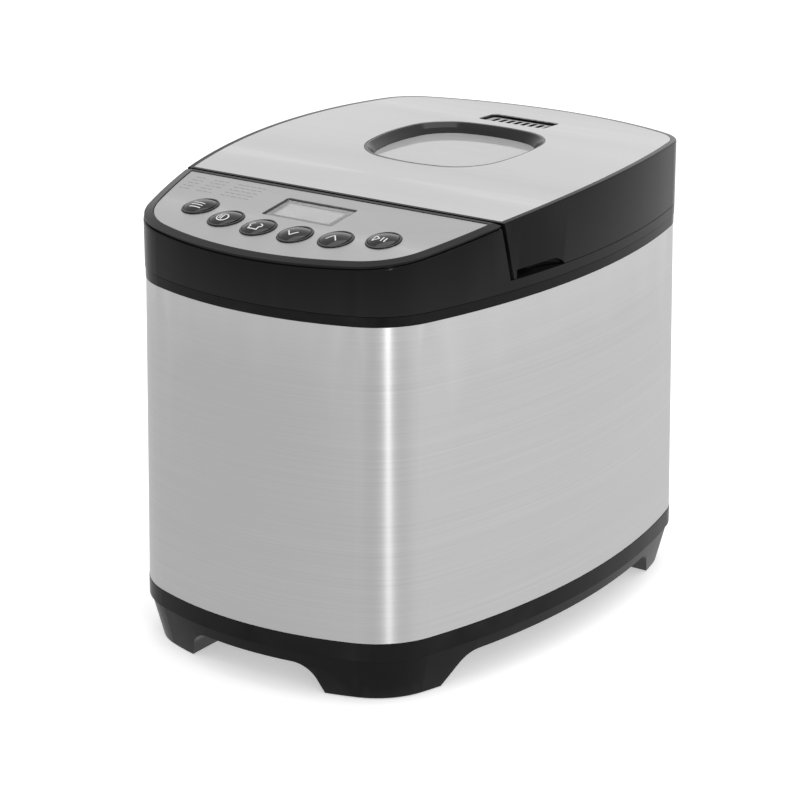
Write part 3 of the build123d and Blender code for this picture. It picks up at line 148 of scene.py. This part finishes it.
def scaled(tone, factor):
    """A colour made lighter or darker."""
    return tuple(min(1.0, factor * channel) for channel in tone)


# ---- materials ------------------------------------------------------------------------------
def scaled_grain(grain):
    """A coarser copy of a grain, for wider streaks."""
    return tuple(max(3, 0.12 * size) for size in grain)


def brushed(name, grain, tone, roughness, anisotropy, axis):
    """Brushed sheet metal; grain is the noise scale on each axis, small along the brush lines."""
    material, tree, shader = new_material(name)
    lines = noise(tree, grain, 5.0, 0.6)
    broad = noise(tree, scaled_grain(grain), 2.0)
    blotches = noise(tree, BLOTCH_SCALE, 2.0)
    fine = mix_colour(tree, remap(tree, lines, 0, 1), scaled(tone, 0.93), scaled(tone, 1.05))
    tone_mix = mix_colour(tree, remap(tree, broad, 0, 0.35), fine, scaled(tone, 0.94))
    rubbed = mix_colour(tree, edge_wear(tree), tone_mix, scaled(tone, 1.15))
    tree.links.new(rubbed, shader.inputs["Base Color"])
    streak = remap(tree, lines, roughness - 0.04, roughness + 0.04)
    patch = remap(tree, blotches, -0.03, 0.03)
    tree.links.new(math_node(tree, "ADD", streak, patch), shader.inputs["Roughness"])
    shader.inputs["Metallic"].default_value = 1.0
    shader.inputs["Anisotropic"].default_value = anisotropy
    shader.inputs["Anisotropic Rotation"].default_value = BRUSH_TURN
    tangent = tree.nodes.new("ShaderNodeTangent")
    tangent.direction_type = "RADIAL"
    tangent.axis = axis
    tree.links.new(tangent.outputs["Tangent"], shader.inputs["Tangent"])
    add_bump(tree, shader, lines, GRAIN_STRENGTH, BRUSH_DEPTH)
    return material


def plastic(name, tone, roughness, specular=0.2, grain_size=FINE_GRAIN, grain_depth=GRAIN_DEPTH, wear=0.03):
    """Moulded plastic: fine surface texture, uneven gloss and slightly rubbed edges."""
    material, tree, shader = new_material(name)
    cloud = noise(tree, CLOUD_SCALE)
    fine = noise(tree, (grain_size,) * 3, 2.0)
    worn = tuple(channel + wear for channel in tone)
    clouded = mix_colour(tree, remap(tree, cloud, 0, 1), tone, scaled(tone, 1.2))
    tree.links.new(mix_colour(tree, edge_wear(tree), clouded, worn), shader.inputs["Base Color"])
    tree.links.new(remap(tree, cloud, roughness - 0.03, roughness + 0.04), shader.inputs["Roughness"])
    shader.inputs["Specular IOR Level"].default_value = specular
    add_bump(tree, shader, fine, GRAIN_STRENGTH, grain_depth)
    return material


def metal(name, tone, roughness, size=BLOTCH_SIZE):
    """Plated, cast or coated metal with small blotches and brighter edges."""
    material, tree, shader = new_material(name)
    spots = noise(tree, (size, size, size), 4.0)
    spotted = mix_colour(tree, remap(tree, spots, 0, 1), scaled(tone, 0.86), tone)
    tree.links.new(mix_colour(tree, edge_wear(tree), spotted, scaled(tone, 1.2)), shader.inputs["Base Color"])
    tree.links.new(remap(tree, spots, roughness - 0.06, roughness + 0.08), shader.inputs["Roughness"])
    shader.inputs["Metallic"].default_value = 1.0
    add_bump(tree, shader, spots, BLOTCH_STRENGTH, BLOTCH_DEPTH)
    return material


def clear(name, tone, transmission, roughness=0.03):
    """Glass or acrylic with faint smears; what isn't let through is scattered."""
    material, tree, shader = new_material(name)
    smears = noise(tree, SMEAR_SCALE)
    streaks = mix_colour(tree, remap(tree, smears, 0, 1), tone, scaled(tone, 1.04))
    tree.links.new(streaks, shader.inputs["Base Color"])
    tree.links.new(remap(tree, smears, roughness, roughness + 0.05), shader.inputs["Roughness"])
    shader.inputs["Transmission Weight"].default_value = transmission
    shader.inputs["IOR"].default_value = CLEAR_IOR
    return material


def display_mask(tree):
    """1 inside the display's recess, 0 over the rest of the panel."""
    low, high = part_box("display_lens")
    separate = tree.nodes.new("ShaderNodeSeparateXYZ")
    tree.links.new(object_point(tree), separate.inputs["Vector"])
    inside = []
    for index, axis in enumerate("XY"):
        middle = (low[index] + high[index]) / 2
        reach = (high[index] - low[index]) / 2 + MASK_BORDER
        away = math_node(tree, "ABSOLUTE", math_node(tree, "SUBTRACT", separate.outputs[axis], middle), 0.0)
        inside.append(math_node(tree, "LESS_THAN", away, reach))
    return math_node(tree, "MULTIPLY", inside[0], inside[1])


def carrier_plastic():
    """Black moulding of the button surrounds, printed silver grey inside the display's recess."""
    material, tree, shader = new_material("panel_carrier_two_tone")
    cloud = noise(tree, CLOUD_SCALE)
    fine = noise(tree, (FINE_GRAIN,) * 3, 2.0)
    black = mix_colour(tree, edge_wear(tree), BLACK, (0.05, 0.05, 0.05))
    grey = mix_colour(tree, remap(tree, cloud, 0, 1), (0.34, 0.34, 0.34), (0.38, 0.38, 0.38))
    tree.links.new(mix_colour(tree, display_mask(tree), black, grey), shader.inputs["Base Color"])
    tree.links.new(remap(tree, cloud, 0.16, 0.24), shader.inputs["Roughness"])
    shader.inputs["Specular IOR Level"].default_value = 0.3
    add_bump(tree, shader, fine, GRAIN_STRENGTH, GRAIN_DEPTH)
    return material


def vent_plastic_with_painted_shade():
    """Silver moulding; every face not facing up, the slot walls among them, is painted black as shade in the
    slots.
    """
    material, tree, shader = new_material("vent_grille_painted_slot_shade")
    cloud = noise(tree, CLOUD_SCALE)
    fine = noise(tree, (FINE_GRAIN,) * 3, 2.0)
    silver = mix_colour(tree, remap(tree, cloud, 0, 1), (0.47, 0.47, 0.475), (0.53, 0.53, 0.535))
    separate = tree.nodes.new("ShaderNodeSeparateXYZ")
    tree.links.new(tree.nodes.new("ShaderNodeTexCoord").outputs["Normal"], separate.inputs["Vector"])
    # Painted shade: faces whose normal points less far up than this are black instead of silver.
    unshaded_tops_mask = math_node(tree, "GREATER_THAN", separate.outputs["Z"], SLOT_SHADE_NORMAL_Z)
    tree.links.new(mix_colour(tree, unshaded_tops_mask, BLACK, silver), shader.inputs["Base Color"])
    tree.links.new(remap(tree, cloud, 0.27, 0.34), shader.inputs["Roughness"])
    shader.inputs["Specular IOR Level"].default_value = 0.3
    add_bump(tree, shader, fine, GRAIN_STRENGTH, GRAIN_DEPTH)
    return material


STEEL = (0.63, 0.63, 0.635)
# Painted shade: the control panel's steel is a darker copy of the body steel, standing in for the darker
# reflection on the forward-tilted panel.
PANEL_STEEL_PAINTED_SHADE = (0.5, 0.5, 0.505)
MATERIALS = {
    "body_steel": brushed("body_steel_wrap", (5, 5, 1100), STEEL, 0.36, 0.9, "Z"),
    "housing_plastic": plastic("housing_plastic_gloss", BLACK, 0.13, 0.13, wear=0.012),
    "base_plastic": plastic("base_plastic_satin", BLACK, 0.28, 0.12, wear=0.012),
    "bezel_plastic": plastic("bezel_plastic_satin", (0.006, 0.006, 0.0063), 0.16, 0.22, wear=0.012),
    "button_plastic": plastic("button_plastic_gloss", BLACK, 0.1, 0.5, wear=0.012),
    "pad_rubber": plastic("pad_rubber_matte", (0.02, 0.02, 0.02), 0.8, 0.2, 900, 0.0001),
    "plated_steel": metal("plated_steel_zinc", (0.62, 0.62, 0.6), 0.35),
    "handle_wire": metal("handle_wire_bright", (0.8, 0.8, 0.8), 0.15),
    "pan_coating": plastic("pan_coating_dark", (0.05, 0.05, 0.053), 0.4, 0.5, 1800, 0.00006),
    "chamber_metal": metal("chamber_metal_sheet", (0.6, 0.6, 0.6), 0.35),
    # Window glass: partly clear glass, letting about a third through. The rest is light grey diffuse colour,
    # a painted reflection of the bright surroundings.
    "clear_glass": clear("window_glass_painted_reflection", (0.62, 0.62, 0.62), 0.35),
    "display_cover": clear("display_cover_acrylic", (0.92, 0.92, 0.92), 0.9),
    "display_cell": plastic("display_cell_grey", (0.6, 0.6, 0.6), 0.3, 0.4),
    "board": plastic("board_solder_mask", (0.02, 0.12, 0.05), 0.4, 0.5),
    "silicone": plastic("silicone_grey", (0.2, 0.2, 0.205), 0.6, 0.3),
    "bronze": metal("bronze_sintered", (0.55, 0.38, 0.2), 0.45),
    "inner_plastic": plastic("inner_plastic_matte", (0.05, 0.05, 0.052), 0.5, 0.3),
    "white_plastic": plastic("white_plastic_moulded", (0.6, 0.59, 0.55), 0.4, 0.4),
    "silver_plastic": plastic("silver_plastic_satin", (0.5, 0.5, 0.505), 0.3, 0.5),
    "belt_rubber": plastic("belt_rubber_ribbed", (0.015, 0.015, 0.015), 0.7, 0.2),
    "motor_metal": metal("motor_metal_laminated", (0.3, 0.3, 0.31), 0.5),
    "cast_metal": metal("cast_metal_grey", (0.55, 0.55, 0.55), 0.45, 500),
    "element_sheath": metal("element_sheath_dark", (0.22, 0.2, 0.18), 0.5),
}
SPECIAL = {
    "lid_skin": brushed("body_steel_lid", (5, 1100, 5), STEEL, 0.34, 0.6, "Y"),
    # Control panel: the darker steel copy, painted shade.
    "control_fascia": brushed("body_steel_panel_painted_shade", (5, 1100, 5), PANEL_STEEL_PAINTED_SHADE, 0.34, 0.6, "Y"),
    "panel_carrier": carrier_plastic(),
    "vent_grille": vent_plastic_with_painted_shade(),
}


def dress(node, material):
    """Give a CAD node a finished material."""
    mesh = NODES[node].data
    mesh.materials.clear()
    mesh.materials.append(material)


for entry in frame["record"]["subparts"]:
    dress(entry["node"], SPECIAL.get(entry["node"], MATERIALS.get(entry["material_slot"])))


# ---- printing on the panel and the buttons -----------------------------------------------------
JOINTS = {joint["name"]: joint for joint in frame["record"]["behaviour"]["joints"]}
PRESS = Vector(JOINTS["button_1_press"]["axis"])
OUT = -PRESS.normalized()
ACROSS = Vector((1, 0, 0))
UP_PANEL = OUT.cross(ACROSS)
PRINT_LIFT = 0.00004
PRINT_DEPTH = 0.00006
RAY_START = 0.05


class Surface:
    """A CAD node's outer surface, met from outside along the panel's normal."""

    def __init__(self, node):
        mesh = NODES[node].data
        self.tree = BVHTree.FromPolygons([v.co for v in mesh.vertices], [p.vertices for p in mesh.polygons])

    def at(self, middle, x, y, lift):
        """The point above (x, y), measured from middle on the panel's own axes."""
        start = middle + ACROSS * x + UP_PANEL * y + OUT * RAY_START
        hit = self.tree.ray_cast(start, -OUT)[0]
        return hit + OUT * lift


def stroke(mesh, surface, middle, points, width):
    """One closed, thin raised line through points."""
    path = [Vector(point) for point in points]
    rings = []
    for index, point in enumerate(path):
        before = path[max(index - 1, 0)]
        after = path[min(index + 1, len(path) - 1)]
        along = (after - before).normalized()
        side = Vector((-along.y, along.x)) * width / 2
        near, far = point - side, point + side
        ring = []
        for edge, lift in ((near, -PRINT_DEPTH), (far, -PRINT_DEPTH), (far, PRINT_LIFT), (near, PRINT_LIFT)):
            ring.append(mesh.verts.new(surface.at(middle, edge.x, edge.y, lift)))
        rings.append(ring)
    for first, second in zip(rings, rings[1:]):
        for corner in range(4):
            following = (corner + 1) % 4
            mesh.faces.new((first[corner], first[following], second[following], second[corner]))
    mesh.faces.new(rings[0][::-1])
    mesh.faces.new(rings[-1])


def arc(centre, radius, start, end, steps=14):
    """Points on a circle between two angles in degrees."""
    angles = [math.radians(start + (end - start) * step / steps) for step in range(steps + 1)]
    return [(centre[0] + radius * math.cos(a), centre[1] + radius * math.sin(a)) for a in angles]


def line(start, end, steps=4):
    """Evenly spaced points on a straight line."""
    a, b = Vector(start), Vector(end)
    return [tuple(a.lerp(b, step / steps)) for step in range(steps + 1)]


def printed(name, body, material, surface, middle, strokes, width):
    """Strokes of print on one surface, as one piece."""
    mesh = bmesh.new()
    for points in strokes:
        stroke(mesh, surface, middle, [(x * MM, y * MM) for x, y in points], width * MM)
    bmesh.ops.recalc_face_normals(mesh, faces=mesh.faces)
    data = bpy.data.meshes.new(name)
    mesh.to_mesh(data)
    mesh.free()
    piece = bpy.data.objects.new(name, data)
    bpy.context.scene.collection.objects.link(piece)
    data.materials.append(material)
    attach(piece, body)
    return piece


ICONS = {
    "button_1": [line((-3, 1.9), (3, 1.9)), line((-3, 0), (3, 0)), line((-3, -1.9), (3, -1.9))],
    "button_2": [arc((0, 0), 2.7, 90, 450, 24), line((0, -1.9), (0, 1.9)), line((-1.1, -1.5), (-1.1, 1.5))],
    "button_3": [arc((-1.6, 0.9), 1.4, 90, 250) + arc((1.6, 0.9), 1.4, -70, 90) + [(-1.6, 2.3)],
                 line((-2.2, -0.5), (-2.2, -2.4)) + line((-2.1, -2.4), (2.1, -2.4))
                 + line((2.2, -2.3), (2.2, -0.5))],
    "button_4": [line((-2.6, 1.5), (0, -1.9)) + line((0.1, -1.8), (2.6, 1.5))],
    "button_5": [line((-2.6, -1.5), (0, 1.9)) + line((0.1, 1.8), (2.6, -1.5))],
    "button_6": [line((-3.2, 2), (-3.2, -2)), line((-3.1, -2), (-0.4, 0)) + line((-0.5, 0.1), (-3.1, 2)),
                 line((1, 1.6), (1, -1.6)), line((2.6, 1.6), (2.6, -1.6))],
}
ICON_SIZE = 1.4
ICON_DROP = 3.0
ICON_STROKE = 0.8
GUIDE_COLUMNS = ((-103.0, 11.0), (-89.0, 13.0), (-70.0, 23.0))
GUIDE_ROWS = 5
GUIDE_TOP = 19.5
GUIDE_PITCH = 4.6
GUIDE_STROKE = 0.8
WORD_LENGTHS = (3.4, 2.2, 4.6, 2.8, 3.9)
WORD_GAP = 1.2
WHITE_PRINT = plastic("print_white", (0.72, 0.72, 0.72), 0.45, 0.3)
GREY_PRINT = plastic("print_grey", (0.24, 0.24, 0.245), 0.5, 0.3)


def print_icons():
    """A generic white symbol on each button."""
    for name, strokes in ICONS.items():
        spots = [vertex.co for vertex in NODES[name].data.vertices]
        across = [spot.dot(ACROSS) for spot in spots]
        up = [spot.dot(UP_PANEL) for spot in spots]
        out = max(spot.dot(OUT) for spot in spots)
        centre_up = (min(up) + max(up)) / 2 - ICON_DROP * MM
        middle = ACROSS * (min(across) + max(across)) / 2 + UP_PANEL * centre_up + OUT * out
        enlarged = [[(x * ICON_SIZE, y * ICON_SIZE) for x, y in points] for points in strokes]
        surface = Surface(name)
        printed(f"{name}_symbol", name, WHITE_PRINT, surface, middle, enlarged, ICON_STROKE)


def print_guide():
    """Rows of short printed marks beside the display."""
    lens_low, lens_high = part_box("display_lens")
    middle = Vector(((lens_low[0] + lens_high[0]) / 2, (lens_low[1] + lens_high[1]) / 2, lens_high[2]))
    strokes = []
    for row in range(GUIDE_ROWS):
        up = GUIDE_TOP - GUIDE_PITCH * row
        for column, (left, width) in enumerate(GUIDE_COLUMNS):
            start = left
            word = 2 * row + column
            while start + WORD_LENGTHS[word % len(WORD_LENGTHS)] <= left + width:
                length = WORD_LENGTHS[word % len(WORD_LENGTHS)]
                strokes.append(line((start, up), (start + length, up)))
                start += length + WORD_GAP
                word += 1
    surface = Surface("control_fascia")
    printed("panel_marks", "root", GREY_PRINT, surface, middle, strokes, GUIDE_STROKE)


print_icons()
print_guide()


# ---- stage, light and camera ------------------------------------------------------------------
FLOOR_REACH = 12.0
FLOOR_TONE = (0.85, 0.85, 0.85, 1)
FLOOR_GLOW = 0.45


def build_floor():
    """Plain pale floor that runs out past the camera's view and doesn't show in reflections."""
    size = FLOOR_REACH
    mesh = bpy.data.meshes.new("studio_floor")
    corners = [(-size, -size, 0), (size, -size, 0), (size, size, 0), (-size, size, 0)]
    mesh.from_pydata(corners, [], [(0, 1, 2, 3)])
    floor = bpy.data.objects.new("studio_floor", mesh)
    bpy.context.scene.collection.objects.link(floor)
    floor.visible_glossy = False
    material, tree, shader = new_material("studio_floor_paint")
    shader.inputs["Base Color"].default_value = FLOOR_TONE
    shader.inputs["Roughness"].default_value = 0.9
    shader.inputs["Specular IOR Level"].default_value = 0.0
    shader.inputs["Emission Color"].default_value = (1, 1, 1, 1)
    shader.inputs["Emission Strength"].default_value = FLOOR_GLOW
    mesh.materials.append(material)


def area_light(name, place, size_x, size_y, power):
    """Rectangular soft light aimed at the middle of the body."""
    light = bpy.data.lights.new(name, "AREA")
    light.shape = "RECTANGLE"
    light.size = size_x
    light.size_y = size_y
    light.energy = power
    lamp = bpy.data.objects.new(name, light)
    bpy.context.scene.collection.objects.link(lamp)
    lamp.location = place
    lamp.rotation_euler = (Vector(LIGHT_TARGET) - Vector(place)).to_track_quat("-Z", "Y").to_euler()


SKY = (
    (-1.0, 0.8),
    (-0.72, 0.8),
    (-0.5, 0.78),
    (-0.12, 0.78),
    (0.03, 1.0),
    (0.3, 1.0),
    (0.6, 0.75),
    (1.0, 0.85),
)
BRIGHT_SIDE = (0.819, 0.574, 0.0)
STRIP_SIDE = (0.755, -0.656, 0.0)
GAP_LEVEL = 0.78
GAP_RANGE = (0.78, 0.92)
BRIGHT_RANGE = (0.85, 1.1)
LIGHT_TARGET = (0, 0, 0.15)
TOP_BOX = ((0.2, 0.3, 2.2), 2.0, 2.0, 14)
RIGHT_STRIP = ((1.89, -1.64, 1.15), 0.09, 2.3, 13)
LENS = 130.4
EYE = (1.01913, -1.48056, 0.74570)
EYE_TILT = 71.202
EYE_TURN = 34.781


def build_light():
    """Even studio surround, darker just under the horizon and brighter to the right, with soft boxes."""
    world = bpy.data.worlds.new("studio_world")
    bpy.context.scene.world = world
    world.use_nodes = True
    tree = world.node_tree
    background = tree.nodes["Background"]
    background.inputs["Color"].default_value = (1, 1, 1, 1)
    direction = tree.nodes.new("ShaderNodeTexCoord").outputs["Generated"]
    separate = tree.nodes.new("ShaderNodeSeparateXYZ")
    tree.links.new(direction, separate.inputs["Vector"])
    ramp = tree.nodes.new("ShaderNodeValToRGB")
    elements = ramp.color_ramp.elements
    while len(elements) < len(SKY):
        elements.new(0.5)
    for element, (height, level) in zip(elements, SKY):
        element.position = (height + 1) / 2
        element.color = (level, level, level, 1)
    tree.links.new(remap(tree, separate.outputs["Z"], 0.0, 1.0, -1.0, 1.0), ramp.inputs["Fac"])
    side = tree.nodes.new("ShaderNodeVectorMath")
    side.operation = "DOT_PRODUCT"
    side.inputs[1].default_value = BRIGHT_SIDE
    tree.links.new(direction, side.inputs[0])
    sweep = remap(tree, side.outputs["Value"], *BRIGHT_RANGE, -1.0, 1.0)
    gap = tree.nodes.new("ShaderNodeVectorMath")
    gap.operation = "DOT_PRODUCT"
    gap.inputs[1].default_value = STRIP_SIDE
    tree.links.new(direction, gap.inputs[0])
    shade = remap(tree, gap.outputs["Value"], 1.0, GAP_LEVEL, *GAP_RANGE)
    level = math_node(tree, "MULTIPLY", ramp.outputs["Color"], sweep)
    tree.links.new(math_node(tree, "MULTIPLY", level, shade), background.inputs["Strength"])
    area_light("top_box", *TOP_BOX)
    area_light("right_strip", *RIGHT_STRIP)


def build_camera():
    """Long-lens view from the front right, a little above."""
    camera = bpy.data.cameras.new("camera")
    camera.lens = LENS
    camera.sensor_width = 36.0
    camera.clip_end = 50.0
    eye = bpy.data.objects.new("camera", camera)
    bpy.context.scene.collection.objects.link(eye)
    eye.location = EYE
    eye.rotation_euler = (math.radians(EYE_TILT), 0.0, math.radians(EYE_TURN))
    bpy.context.scene.camera = eye


build_floor()
build_light()
build_camera()
bpy.context.scene.view_settings.view_transform = "Standard"
